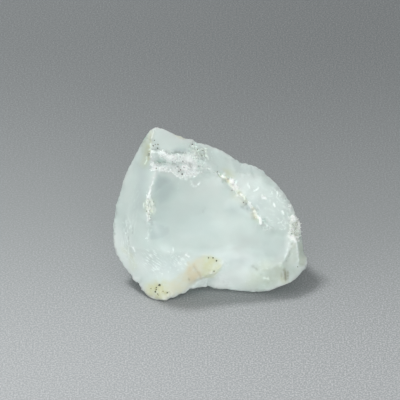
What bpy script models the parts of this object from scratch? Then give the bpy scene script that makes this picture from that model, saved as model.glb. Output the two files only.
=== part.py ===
"""A rough aquamarine: one broken lump of pale beryl, 28 mm across, lying on its flat underside.

The lump is one solid. Its seen side was measured looking down on it by VIEW_TILT, so that side's edges are
given as they look from there: millimetres across (to the right), up (in the picture plane) and deep (away
from the eye). The hidden side is given as the stone stands: x to the right, y to the back and z upwards.
Both sides are sheets stretched between their edges, and they meet along the outline.
"""

import math

import bmesh
import bpy
import numpy as np
from mathutils import Matrix, Vector, noise
from mathutils.geometry import delaunay_2d_cdt

for old in list(bpy.data.objects):
    bpy.data.objects.remove(old)

MM = 0.001
VIEW_TILT = math.radians(30.0)

SEEN_SPACING = 0.66
HIDDEN_SPACING = 0.95
BROKEN_SPACING = 0.40
SHARD_SIZE = 1.3
GUIDE_PULL = 0.05
LINE_WANDER = 0.16
SWELL = 0.09


def standing(x, y, z):
    """A point of the standing stone, as (across, up, deep) in the measured view."""
    up = y * math.sin(VIEW_TILT) + z * math.cos(VIEW_TILT)
    deep = y * math.cos(VIEW_TILT) - z * math.sin(VIEW_TILT)
    return (x, up, deep)


# The outline, clockwise from the peak.
PEAK = (-7.8, 25.0, -1.0)
TOP_REAR_LEFT = (-5.9, 24.4, -0.4)
TOP_REAR_RIGHT = (4.3, 20.0, 2.0)
ROOF_END = (8.1, 18.2, 2.2)
RIGHT_SHOULDER = (12.1, 13.4, 3.1)
FACET_END = (13.2, 9.6, 3.8)
KNOB = (13.7, 5.1, 2.9)
NOTCH = (-0.4, 2.55, 2.8)
TIP = (-6.6, 0.0, 0.0)
LEFT_BULGE = (-14.0, 9.2, 3.8)

TOP_EDGE = [
    PEAK,
    (-7.1, 24.9, -0.8),
    TOP_REAR_LEFT,
    (-4.3, 23.7, 0.2),
    (-3.5, 23.4, 0.5),
    (-2.4, 23.3, 0.8),
    (-2.0, 22.9, 0.9),
    (-0.6, 22.6, 1.2),
    (0.6, 22.2, 1.5),
    (1.8, 21.7, 1.7),
    (3.1, 20.9, 1.9),
    TOP_REAR_RIGHT,
    (5.3, 19.7, 2.0),
    (6.7, 19.4, 2.0),
    (7.8, 18.8, 2.1),
]
RIGHT_EDGE = [
    ROOF_END,
    (9.2, 17.3, 2.4),
    (10.4, 16.0, 2.6),
    (11.5, 14.4, 2.9),
    RIGHT_SHOULDER,
    (12.15, 12.9, 3.2),
    (12.5, 12.3, 3.3),
    (12.9, 11.2, 3.5),
    FACET_END,
    (13.5, 8.4, 4.0),
    (13.6, 7.1, 4.3),
    (13.9, 6.2, 4.0),
    (14.0, 5.5, 3.5),
    KNOB,
    (13.3, 4.4, 1.8),
]
BELLY_EDGE = [
    (12.1, 3.1, 1.1),
    (10.6, 2.4, 0.7),
    (9.4, 1.9, 0.9),
    (8.2, 1.5, 1.3),
    (6.5, 1.4, 1.9),
    (4.5, 1.5, 2.2),
    (2.7, 1.7, 2.3),
    (1.2, 2.1, 2.5),
    NOTCH,
]
FOOT_EDGE = [
    (-0.7, 2.3, 2.3),
    (-1.4, 2.3, 2.0),
    (-2.9, 2.1, 1.2),
    (-3.7, 1.5, 0.8),
    (-4.7, 0.8, 0.4),
    (-5.7, 0.5, 0.2),
    TIP,
    (-7.6, 0.3, 0.4),
    (-8.6, 0.6, 0.8),
    (-9.0, 1.3, 1.2),
    (-9.6, 2.2, 1.6),
    (-10.3, 3.0, 1.9),
    (-10.8, 3.2, 2.0),
    (-11.7, 4.1, 2.4),
]
LEFT_EDGE = [
    (-12.7, 5.5, 3.0),
    (-13.5, 6.8, 3.5),
    (-13.9, 8.0, 3.8),
    LEFT_BULGE,
    (-13.9, 11.2, 3.5),
    (-13.6, 13.3, 3.0),
    (-13.1, 15.3, 2.5),
    (-12.5, 17.4, 2.0),
    (-11.7, 19.2, 1.3),
    (-10.8, 20.9, 0.6),
    (-9.6, 23.1, -0.2),
    (-8.6, 24.6, -0.8),
]
OUTLINE = TOP_EDGE + RIGHT_EDGE + BELLY_EDGE + FOOT_EDGE + LEFT_EDGE

# The seen side. Held edges are crisp; guides only shape the sheet between them.
LEDGE_LEFT = (-8.5, 21.7, -2.9)
LEDGE_FOOT_LEFT = (-7.7, 18.5, -3.4)
RIDGE_START = (1.2, 18.6, -0.6)
FACET_APEX = (12.5, 8.7, 1.6)
FACET_FOOT = (10.2, 5.5, -0.4)
FACET_CORNER = (12.7, 5.3, 1.6)

PRISM_EDGE = [
    PEAK,
    (-8.35, 23.4, -2.2),
    LEDGE_LEFT,
    (-8.2, 20.0, -3.1),
    LEDGE_FOOT_LEFT,
    (-8.7, 15.3, -4.0),
    (-8.8, 11.6, -4.3),
]
LEDGE_LIP = [
    LEDGE_LEFT,
    (-6.9, 21.5, -2.6),
    (-5.5, 21.3, -2.4),
    (-3.3, 21.4, -1.9),
    (-1.8, 20.9, -1.4),
    (-0.9, 20.1, -1.2),
    (0.2, 19.3, -0.9),
    RIDGE_START,
]
LEDGE_CORNER = [
    (-8.2, 20.0, -3.1),
    (-6.6, 20.1, -1.7),
    (-4.6, 19.9, -1.2),
    (-2.4, 19.7, -0.8),
]
LEDGE_FOOT = [
    LEDGE_FOOT_LEFT,
    (-5.7, 18.1, -2.5),
    (-3.9, 17.6, -1.9),
    (-1.9, 18.3, -1.4),
    (-0.5, 18.6, -1.0),
    RIDGE_START,
]
SUGAR_RIDGE = [
    RIDGE_START,
    (2.2, 17.6, -0.5),
    (3.5, 16.9, -0.4),
    (3.7, 15.9, -0.3),
    (4.9, 14.7, -0.3),
    (5.7, 13.9, -0.2),
    (6.3, 12.9, -0.2),
    (7.2, 11.6, 0.0),
    (8.2, 10.9, 0.2),
]
ROOF_LINE = [
    (2.2, 17.6, -0.5),
    (3.7, 18.3, 0.3),
    (5.9, 18.2, 0.9),
    ROOF_END,
]
FACET_LEFT = [FACET_APEX, (11.0, 6.5, 0.3), FACET_FOOT]
FACET_MIDDLE = [FACET_APEX, FACET_CORNER]
FACET_TOP = [FACET_APEX, FACET_END]
FACET_LOW = [FACET_FOOT, FACET_CORNER, KNOB]
FOOT_SIDE = [
    (-3.7, 1.5, 0.8),
    (-3.2, 2.7, 0.0),
    (-1.4, 3.45, -0.3),
    (0.6, 4.2, -0.7),
    (1.7, 5.3, -1.7),
]
FOOT_SIDE_ROOT = [
    (-2.9, 2.1, 1.2),
    (-1.2, 3.15, 0.9),
    (0.85, 3.9, 0.3),
    (2.0, 5.0, -1.2),
]

HOLLOW_FLOOR = [
    (-6.3, 16.0, -1.9),
    (-3.5, 14.0, -0.6),
    (1.0, 12.6, 0.1),
    (5.0, 10.6, 0.5),
    (9.3, 8.3, 0.9),
    (11.3, 8.3, 1.2),
]
HOLLOW_WALL = [(-7.1, 14.8, -2.9), (-6.9, 11.6, -3.0), (-6.2, 9.0, -3.2)]
HOLLOW_BRIM = [
    (-9.0, 8.4, -4.1),
    (-5.7, 6.9, -3.7),
    (-2.1, 7.4, -3.1),
    (2.1, 8.0, -2.4),
    (5.7, 6.9, -2.1),
    (8.5, 6.2, -1.3),
]
RIDGE_TAIL = [(8.2, 10.9, 0.2), (10.5, 10.0, 0.9), (12.3, 9.4, 1.8)]
UPPER_FACE = [(5.5, 16.6, 0.4), (8.2, 15.4, 1.1), (10.6, 12.0, 1.5)]
LEFT_FACE = [(-10.6, 20.0, -1.5), (-11.6, 15.0, -1.3), (-11.8, 9.5, -0.8)]
FOOT_CREST = [(-9.0, 8.4, -4.1), (-8.6, 5.7, -3.2), (-7.6, 2.4, -1.6)]
BELLY_CREST = [
    (2.1, 3.9, -0.2),
    (4.3, 3.9, -0.9),
    (7.9, 3.9, -0.7),
    (10.6, 3.6, 0.0),
]

SEEN_EDGES = [
    PRISM_EDGE,
    LEDGE_LIP,
    LEDGE_CORNER,
    LEDGE_FOOT,
    SUGAR_RIDGE,
    ROOF_LINE,
    FACET_LEFT,
    FACET_MIDDLE,
    FACET_TOP,
    FACET_LOW,
    FOOT_SIDE,
    FOOT_SIDE_ROOT,
]
SEEN_GUIDES = [
    HOLLOW_FLOOR,
    HOLLOW_WALL,
    HOLLOW_BRIM,
    RIDGE_TAIL,
    UPPER_FACE,
    LEFT_FACE,
    FOOT_CREST,
    BELLY_CREST,
]

# The hidden side.
BASE_DROP = 0.15
BASE = [
    standing(x, y, -BASE_DROP)
    for x, y in [
        (4.0, 4.8),
        (7.6, 5.4),
        (9.6, 8.0),
        (9.2, 11.6),
        (4.3, 15.6),
        (-9.3, 13.4),
        (-9.6, 8.0),
        (-5.0, 6.5),
        (4.0, 4.8),
    ]
]
REAR_LEFT_EDGE = [
    standing(-9.3, 13.4, -BASE_DROP),
    standing(-10.8, 15.3, 8.0),
    standing(-8.5, 14.4, 17.0),
    TOP_REAR_LEFT,
]
REAR_RIGHT_EDGE = [
    standing(4.3, 15.6, -BASE_DROP),
    standing(5.0, 17.2, 7.0),
    standing(3.6, 14.6, 14.0),
    TOP_REAR_RIGHT,
]
RIGHT_REAR_EDGE = [
    standing(9.2, 11.6, -BASE_DROP),
    standing(11.4, 12.4, 5.5),
    RIGHT_SHOULDER,
]
HIDDEN_EDGES = [BASE, REAR_LEFT_EDGE, REAR_RIGHT_EDGE, RIGHT_REAR_EDGE]
ARCH = [
    standing(-9.8, 5.0, 2.0),
    standing(-6.6, 4.2, 1.0),
    standing(-3.0, 4.9, 1.2),
    standing(0.6, 4.6, 0.7),
]
REAR_SWELL = [standing(-6.5, 16.2, 9.0), standing(-2.0, 16.9, 7.5), standing(2.5, 17.0, 6.0)]
REAR_UPPER = [standing(-5.8, 15.0, 15.5), standing(-1.0, 15.2, 13.5)]
LEFT_SWELL = [standing(-11.6, 10.6, 13.0), standing(-13.0, 12.2, 8.0), standing(-12.4, 11.0, 3.0)]
RIGHT_SWELL = [standing(9.0, 15.6, 5.0), standing(8.0, 14.9, 10.0), standing(6.0, 14.4, 13.0)]
HIDDEN_GUIDES = [ARCH, REAR_SWELL, REAR_UPPER, LEFT_SWELL, RIGHT_SWELL]

# Ground broken into small facets: the line it follows, how far it reaches and how high it stands.
BROKEN_SEEN = [
    ([(-7.4, 20.2), (-5.0, 19.6), (-2.6, 19.5), (-0.6, 19.3)], 1.9, 0.50),
    ([(0.2, 19.0), (3.5, 16.6), (5.2, 14.3), (6.3, 12.9), (8.2, 11.0)], 1.3, 0.38),
    ([(-8.3, 15.6), (-8.8, 12.2)], 1.3, 0.34),
    ([(-2.3, 21.9), (-0.8, 20.9)], 1.3, 0.32),
    ([(11.6, 13.0), (12.4, 11.2), (12.4, 9.4)], 1.5, 0.42),
    ([(13.3, 6.4), (13.2, 5.2)], 0.9, 0.30),
    ([(-3.0, 2.6), (0.4, 3.9), (1.6, 5.2)], 1.2, 0.30),
    ([(-7.3, 1.0), (-6.0, 1.1)], 1.1, 0.28),
]
BROKEN_HIDDEN = [
    ([(1.5, 11.0), (4.0, 9.0), (7.0, 8.6)], 2.4, 0.60),
    ([(-10.8, 17.5), (-11.0, 12.5)], 1.6, 0.45),
    ([(4.0, 15.5), (4.3, 19.0)], 1.6, 0.50),
]

# Scars where a flake came away: the steep brow runs from start to end and bows out between them, and the
# scar is deepest just past the brow, to the left of that run, and dies out towards its far side.
# Each is start, end, bow, drop and reach.
BROW_WIDTH = 0.3
FLAKES_SEEN = [((-10.2, 7.6), (-12.9, 9.4), 0.5, 0.22, 3.0)]
FLAKES_HIDDEN = [
    ((2.8, 13.2), (-8.0, 18.0), -1.3, -0.75, 5.5),
    ((-4.0, 12.5), (2.6, 10.2), -0.9, -0.55, 3.2),
    ((9.6, 12.0), (5.2, 13.4), -0.5, -0.40, 2.6),
    ((-12.4, 8.0), (-11.6, 13.0), -0.5, -0.35, 2.6),
]


def walked(line, spacing):
    """The line with points added so that none lie further apart than spacing, wandering a little."""
    points = []
    for start, end in zip(line, line[1:]):
        start, end = Vector(start), Vector(end)
        pieces = max(1, math.ceil((end - start).xy.length / spacing))
        points.append(start)
        for i in range(1, pieces):
            point = start.lerp(end, i / pieces)
            points.append(point + LINE_WANDER * noise.noise_vector(point * 1.3))
    return points + [Vector(line[-1])]


def nearness(place, line, reach):
    """1 on the line, falling smoothly to 0 at reach from it."""
    place = Vector(place[:2])
    nearest = reach
    for start, end in zip(line, line[1:]):
        start, end = Vector(start[:2]), Vector(end[:2])
        along = max(0.0, min(1.0, (place - start).dot(end - start) / (end - start).length_squared))
        nearest = min(nearest, (place - start.lerp(end, along)).length)
    share = 1.0 - nearest / reach
    return share * share * (3.0 - 2.0 * share)


def flake_depth(place, start, end, bow, drop, reach):
    """How much deeper a place lies inside a flake scar."""
    run = Vector(end) - Vector(start)
    offset = Vector(place[:2]) - Vector(start)
    share = offset.dot(run) / run.length_squared
    if not 0.0 < share < 1.0:
        return 0.0
    past = offset.dot(run.orthogonal().normalized()) - bow * 4.0 * share * (1.0 - share)
    if not 0.0 < past < reach:
        return 0.0
    return drop * math.sin(math.pi * share) ** 0.6 * min(past / BROW_WIDTH, 1.0 - past / reach)


def flake_brow(start, end, bow, drop, reach):
    """The two lines, above and below the steep brow of a flake scar."""
    run = Vector(end) - Vector(start)
    side = run.orthogonal().normalized()
    steps = [0.04 + 0.92 * i / 12 for i in range(13)]
    middle = [Vector(start) + run * i + side * bow * 4.0 * i * (1.0 - i) for i in steps]
    return [[(*(p + side * past), 0.0) for p in middle] for past in (0.0, BROW_WIDTH)]


def shard(across, up, size):
    """Height of the small tilted facet that covers a place, from about -1 to 1."""
    place = Vector((across / size, up / size, 3.7))
    middle = noise.voronoi(place)[1][0]
    tilt = noise.noise_vector(middle * 9.1 + Vector((4.0, 1.0, 8.0)))
    level = noise.noise(middle * 7.7 + Vector((2.0, 6.0, 1.0)))
    return 1.2 * level + 1.6 * (place - middle).xy.dot(tilt.xy)


def triangulated(outline, lines, traces, broken, spacing):
    """A triangle mesh inside the outline, with an edge along every line and trace.

    The lines give their depth and the traces don't. The mesh is finer on broken ground.
    """
    points = list(outline)
    edges = []
    paths = [walked(line, spacing) for line in lines + traces]
    for path in paths:
        first = len(points)
        points += path
        edges += [(first + i, first + i + 1) for i in range(len(path) - 1)]
    measured = len(outline) + sum(len(path) for path in paths[: len(lines)])
    known = np.array([p.xy for p in points])
    low, high = known.min(0), known.max(0)
    fill = []
    for gap in (spacing, BROKEN_SPACING):
        row_height = gap * math.sqrt(3) / 2
        for row in range(int((high[1] - low[1]) / row_height) + 1):
            for column in range(int((high[0] - low[0]) / gap) + 1):
                wander = noise.noise_vector(Vector((row * 7.3, column * 5.1, gap)))
                x = low[0] + (column + (row % 2) / 2 + 0.35 * wander.x) * gap
                y = low[1] + row * row_height + 0.35 * wander.y * gap
                fine = any(nearness((x, y), line, reach) > 0.15 for line, reach, _ in broken)
                room = np.hypot(*(known - (x, y)).T).min()
                if fine == (gap == BROKEN_SPACING) and room > 0.6 * gap:
                    fill.append(Vector((x, y, 0.0)))
    flat = [p.xy for p in points + fill]
    made = delaunay_2d_cdt(flat, edges, [list(range(len(outline)))], 1, 1e-5)
    used, triangles = np.unique(np.array(made[2]), return_inverse=True)
    triangles = triangles.reshape(-1, 3)
    places = np.array([tuple(made[0][vertex]) for vertex in used])
    depths = np.full(len(places), np.nan)
    rim = {}
    for index, vertex in enumerate(used):
        for source in made[3][vertex]:
            if source < measured:
                depths[index] = points[source].z
            if source < len(outline):
                rim[source] = index
    return places, triangles, depths, rim


def stiffness(places, triangles):
    """The matrix that measures how far each vertex stands off the skin around it."""
    matrix = np.zeros((len(places), len(places)))
    for triangle in triangles:
        for i in range(3):
            a, b, c = (int(triangle[(i + k) % 3]) for k in range(3))
            u, v = places[a] - places[c], places[b] - places[c]
            weight = 0.5 * float(u @ v) / max(abs(float(u[0] * v[1] - u[1] * v[0])), 1e-9)
            matrix[a, b] -= weight
            matrix[b, a] -= weight
            matrix[a, a] += weight
            matrix[b, b] += weight
    return matrix


def sheet(outline, edges, guides, broken, flakes, spacing):
    """One side of the stone: its vertices in the measured view, its triangles and its rim."""
    brows = [line for flake in flakes for line in flake_brow(*flake)]
    made = triangulated(outline, edges + guides, brows, broken, spacing)
    places, triangles, depths, rim = made
    crisp = {(round(p.x, 3), round(p.y, 3)) for e in edges for p in walked(e, spacing)}
    crisp |= {(round(p.x, 3), round(p.y, 3)) for p in outline}
    held = np.array([(round(float(x), 3), round(float(y), 3)) in crisp for x, y in places])
    guided = ~held & ~np.isnan(depths)
    free = ~held
    # The sheet bends as little as it can, fixed at the edges and drawn towards the guides.
    matrix = stiffness(places, triangles)
    inner = matrix[np.ix_(free, free)]
    fixed = matrix[np.ix_(free, held)] @ depths[held]
    pull = np.where(guided, GUIDE_PULL, 0.0)[free]
    aim = np.where(guided, depths, 0.0)[free]
    depths[free] = np.linalg.solve(inner.T @ inner + np.diag(pull), pull * aim - inner.T @ fixed)
    rim_line = [tuple(p.xy) for p in outline + outline[:1]]
    for index, place in enumerate(places):
        height = sum(high * nearness(place, line, reach) for line, reach, high in broken)
        relief = SWELL * noise.noise(Vector((*place, 0.0)) * 0.45)
        if height > 0.0:
            relief += height * (shard(*place, SHARD_SIZE) + 0.4 * shard(*place, 0.55 * SHARD_SIZE))
        relief += sum(flake_depth(place, *flake) for flake in flakes)
        depths[index] += relief * (1.0 - nearness(place, rim_line, 1.0))
    return np.column_stack([places, depths]), triangles, rim


def stone_mesh():
    outline = walked(OUTLINE + OUTLINE[:1], SEEN_SPACING)[:-1]
    seen = sheet(outline, SEEN_EDGES, SEEN_GUIDES, BROKEN_SEEN, FLAKES_SEEN, SEEN_SPACING)
    hidden = sheet(
        outline, HIDDEN_EDGES, HIDDEN_GUIDES, BROKEN_HIDDEN, FLAKES_HIDDEN, HIDDEN_SPACING
    )
    bm = bmesh.new()
    upright = Matrix.Rotation(-VIEW_TILT, 3, "X")
    rim_vertices = {}
    for points, triangles, rim in (seen, hidden):
        place_on_rim = {index: number for number, index in rim.items()}
        made = []
        for index, (across, up, deep) in enumerate(points):
            number = place_on_rim.get(index)
            if number in rim_vertices:
                made.append(rim_vertices[number])
                continue
            vertex = bm.verts.new(upright @ Vector((across, deep, up)) * MM)
            made.append(vertex)
            if number is not None:
                rim_vertices[number] = vertex
        for a, b, c in triangles:
            bm.faces.new((made[a], made[b], made[c]))

    # The underside is ground off level, so that the stone stands flat with its foot just touching.
    for vertex in bm.verts:
        vertex.co.z = max(vertex.co.z, 0.0)
    level = [e for e in bm.edges if all(v.co.z == 0.0 for f in e.link_faces for v in f.verts)]
    bmesh.ops.dissolve_edges(bm, edges=level, use_verts=False)
    bmesh.ops.triangulate(bm, faces=bm.faces)
    bmesh.ops.recalc_face_normals(bm, faces=bm.faces)

    across = [v.co.x for v in bm.verts]
    back = [v.co.y for v in bm.verts]
    middle = Vector(((min(across) + max(across)) / 2, (min(back) + max(back)) / 2, 0))
    bmesh.ops.translate(bm, verts=bm.verts, vec=-middle)
    mesh = bpy.data.meshes.new("aquamarine")
    bm.to_mesh(mesh)
    bm.free()
    mesh.shade_smooth()
    mesh.set_sharp_from_angle(angle=math.radians(28))
    return mesh


def stone_material():
    material = bpy.data.materials.new("aquamarine")
    material.use_nodes = True
    surface = material.node_tree.nodes["Principled BSDF"]
    surface.inputs["Base Color"].default_value = (0.60, 0.72, 0.68, 1)
    surface.inputs["Roughness"].default_value = 0.35
    surface.inputs["IOR"].default_value = 1.577
    return material


stone = bpy.data.objects.new("aquamarine", stone_mesh())
stone.data.materials.append(stone_material())
bpy.context.scene.collection.objects.link(stone)
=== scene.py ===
"""The looks of a rough aquamarine, a broken lump of milky pale beryl lying on a plain floor."""

import math

import bmesh
import bpy
import numpy as np
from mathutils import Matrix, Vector, bvhtree, kdtree, noise


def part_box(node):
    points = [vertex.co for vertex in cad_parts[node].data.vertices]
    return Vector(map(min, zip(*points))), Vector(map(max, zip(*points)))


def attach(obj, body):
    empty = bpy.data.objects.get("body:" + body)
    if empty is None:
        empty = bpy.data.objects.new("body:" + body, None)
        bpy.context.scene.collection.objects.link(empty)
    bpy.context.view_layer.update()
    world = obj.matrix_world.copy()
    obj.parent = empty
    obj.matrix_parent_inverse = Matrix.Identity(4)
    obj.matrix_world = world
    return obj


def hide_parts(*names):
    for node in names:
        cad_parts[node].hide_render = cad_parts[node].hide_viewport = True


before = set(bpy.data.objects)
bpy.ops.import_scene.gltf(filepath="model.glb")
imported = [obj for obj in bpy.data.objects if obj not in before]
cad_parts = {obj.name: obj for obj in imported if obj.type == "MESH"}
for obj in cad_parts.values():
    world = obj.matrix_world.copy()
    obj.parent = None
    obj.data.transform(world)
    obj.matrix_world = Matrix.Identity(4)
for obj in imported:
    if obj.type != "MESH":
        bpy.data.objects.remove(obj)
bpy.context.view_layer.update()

# The stone is one piece of beryl, broken from a larger prism. Its left side is a growth face, the wide
# hollow in front is a shell-shaped break, and the ledge and ridges round the hollow are crushed to white
# sugar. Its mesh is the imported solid, rounded between its crisp edges and given its fine relief.
MM = 0.001
VIEW_TILT = math.radians(30.0)
TO_VIEWER = np.array([0.0, -math.cos(VIEW_TILT), math.sin(VIEW_TILT)])
stone_low, stone_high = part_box("aquamarine")


def in_scene(name, data):
    """A new object of the scene that shows the data."""
    thing = bpy.data.objects.new(name, data)
    bpy.context.scene.collection.objects.link(thing)
    return thing


def seen_from_front(points):
    """Points of the stone as (across, up) in millimetres, looked at from VIEW_TILT above."""
    y = points[:, 1] - stone_low.y
    up = y * math.sin(VIEW_TILT) + points[:, 2] * math.cos(VIEW_TILT)
    return np.column_stack([points[:, 0], up]) / MM


def ramp(values, low, high):
    """0 up to low and 1 from high, straight between them."""
    return np.clip((values - low) / (high - low), 0.0, 1.0)


def smooth(share):
    """A share from 0 to 1, eased at both ends."""
    share = np.clip(share, 0.0, 1.0)
    return share * share * (3.0 - 2.0 * share)


def distance_to(places, line):
    """How far each place is from a line of (across, up) points."""
    nearest = np.full(len(places), np.inf)
    line = np.array(line, float)
    for start, end in zip(line, line[1:]):
        run = end - start
        share = np.clip(((places - start) @ run) / (run @ run), 0.0, 1.0)
        away = np.linalg.norm(places - start - share[:, None] * run, axis=1)
        nearest = np.minimum(nearest, away)
    return nearest


def along(places, line, reach):
    """1 on a line, falling smoothly to 0 at reach from it."""
    return smooth(1.0 - distance_to(places, line) / reach)


def within(places, outline, soft):
    """1 inside a closed outline, falling smoothly to 0 over its soft border."""
    closed = outline + outline[:1]
    inside = np.zeros(len(places), bool)
    for (x0, y0), (x1, y1) in zip(closed, closed[1:]):
        crosses = (places[:, 1] < y0) != (places[:, 1] < y1)
        if y0 != y1:
            inside ^= crosses & (places[:, 0] < x0 + (places[:, 1] - y0) * (x1 - x0) / (y1 - y0))
    away = distance_to(places, closed)
    return smooth(0.5 + np.where(inside, away, -away) / soft)


def noise_at(mm, size, seed=0.0):
    """Smooth noise from about -1 to 1 at points in millimetres."""
    return np.array([noise.noise(Vector(place) / size + Vector((seed, 0, 0))) for place in mm])


def patches_at(mm, size, cover, contrast, seed):
    """Soft-edged patches, 1 inside and 0 between. A cover of 0.5 gives as much of each."""
    return smooth(cover + contrast * noise_at(mm, size, seed))


def prism_lines_at(mm, width, squeeze, seed=0.0):
    """Noise drawn out into lines along the upright prism, whose height it takes squeezed."""
    return noise_at(mm * np.array([1.0, 1.0, squeeze]), width, seed)


def strokes_at(places, lean, width, length):
    """Noise drawn out into strokes that lean that many degrees clockwise from upright."""
    turn = math.radians(lean)
    along_stroke = places[:, 0] * math.sin(turn) + places[:, 1] * math.cos(turn)
    over_stroke = places[:, 0] * math.cos(turn) - places[:, 1] * math.sin(turn)
    flat = np.column_stack([over_stroke / width, along_stroke / length, np.zeros(len(places))])
    return noise_at(flat, 1.0, seed=40.0)


# Each facet has a level of its own and a tilt. The seed keeps the tilts the same each time.
noise.seed_set(3)
FACET_LEVEL, FACET_TILT = 1.2, 1.5


def facets_at(mm, size, seed=0.0):
    """Height and tone of the small tilted facets that cover the points, both from about -1 to 1."""
    heights = np.zeros(len(mm))
    tones = np.zeros(len(mm))
    for i, point in enumerate(mm):
        place = Vector(point) / size + Vector((seed, 0, 0))
        middle = noise.voronoi(place)[1][0]
        tilt = noise.noise_vector(middle * 9.1)
        level = noise.noise(middle * 7.7)
        heights[i] = FACET_LEVEL * level + FACET_TILT * (place - middle).dot(tilt)
        tones[i] = noise.cell(middle * 31.7)
    return heights, tones


# Marks on the stone. Each is a line (along) or an outline (within) of (across, up) points in millimetres
# as seen from the front, its reach or soft border in millimetres, and its strength.
MARKS = {}

# Beryl crushed to white sugar.
MARKS["sugar"] = [
    # the ledge
    (within, [(-8.52, 21.77), (-7.3, 21.69), (-6.3, 21.19), (-4.58, 21.19), (-2.86, 21.12), (-1.58, 20.76),
              (-0.86, 20.05), (-1, 19.05), (-2, 18.19), (-3.01, 17.61), (-4.15, 17.76), (-4.87, 18.19),
              (-5.73, 18.69), (-7.16, 18.83), (-8.31, 18.9), (-8.45, 20.33)], 1.0, 1.0),
    (within, [(-2.86, 22.84), (-1.72, 22.55), (-0.43, 22.2), (0.29, 21.48), (-0.14, 20.33), (-1, 20.12),
              (-2, 20.33), (-3.01, 20.76), (-3.29, 21.62)], 1.0, 0.42),
    # the ridge beside the prism face
    (along, [(-8.38, 22.91), (-8.38, 21.48)], 0.25, 0.3),
    (within, [(-8.81, 15.47), (-8.31, 15.47), (-7.95, 14.18), (-8.02, 12.89), (-8.38, 11.6), (-8.88, 11.6),
              (-9.02, 12.89), (-9.38, 13.46), (-9.24, 14.46)], 0.7, 0.6),
    (along, [(-8.88, 11.6), (-9.02, 8.74)], 0.3, 0.4),
    # the ridge between the hollow and the upper right face
    (along, [(-0.57, 19.19), (0.57, 18.76), (1.29, 18.4)], 0.3, 0.55),
    (along, [(1.43, 18.26), (2.08, 17.83), (2.43, 17.61)], 0.3, 0.62),
    (along, [(2.86, 17.33), (3.37, 16.9), (3.84, 16.11)], 0.85, 1.0),
    (along, [(3.87, 16.04), (4.37, 15.47)], 0.3, 0.35),
    (along, [(4.37, 15.54), (4.98, 14.75)], 0.32, 0.75),
    (along, [(5.01, 14.75), (5.66, 14.03)], 0.28, 0.35),
    (along, [(5.7, 14.18), (5.87, 13.68)], 0.5, 0.95),
    (along, [(5.94, 13.6), (6.3, 12.89)], 0.28, 0.3),
    (along, [(6.3, 12.96), (6.77, 12.17)], 0.52, 0.95),
    (along, [(7.06, 12.03), (7.29, 11.31)], 0.45, 1.0),
    (along, [(7.73, 11.6), (8.31, 10.74)], 0.4, 0.42),
    # crumbled spots on the upper right face
    (along, [(6.16, 15.9), (6.52, 15.97), (6.87, 16.32)], 0.3, 0.6),
    (along, [(7.59, 15.18), (7.88, 14.89)], 0.4, 0.8),
    (along, [(9.24, 14.03), (9.34, 13.75)], 0.35, 0.8),
    (along, [(10.38, 13.03), (10.53, 12.6)], 0.3, 0.7),
    (along, [(10.17, 15.18), (11.03, 14.53)], 0.45, 0.5),
    (along, [(10.74, 14.61), (11.6, 13.6)], 0.4, 0.55),
    # the right end
    (within, [(11.6, 12.46), (12.32, 12.67), (12.89, 11.74), (13.1, 10.45), (13.25, 9.16), (12.6, 8.66),
              (11.6, 8.81), (11.31, 9.45), (11.53, 10.45), (11.38, 11.46)], 0.6, 0.97),
    (along, [(11.46, 8.74), (11.17, 7.73), (10.81, 6.59)], 0.2, 0.3),
    # the foot
    (along, [(-4.08, 6.16), (-3.72, 6.3), (-3.22, 6.11)], 0.3, 0.5),
]

# Smooth facets in the ledge that the sugar leaves bare.
MARKS["bare"] = [
    (within, [(-8.23, 21.27), (-7.52, 21.34), (-6.73, 20.69), (-6.01, 20.19), (-6.3, 19.9), (-7.02, 19.83),
              (-7.59, 20.12), (-8.23, 20.05)], 0.35, 0.85),
]

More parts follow.
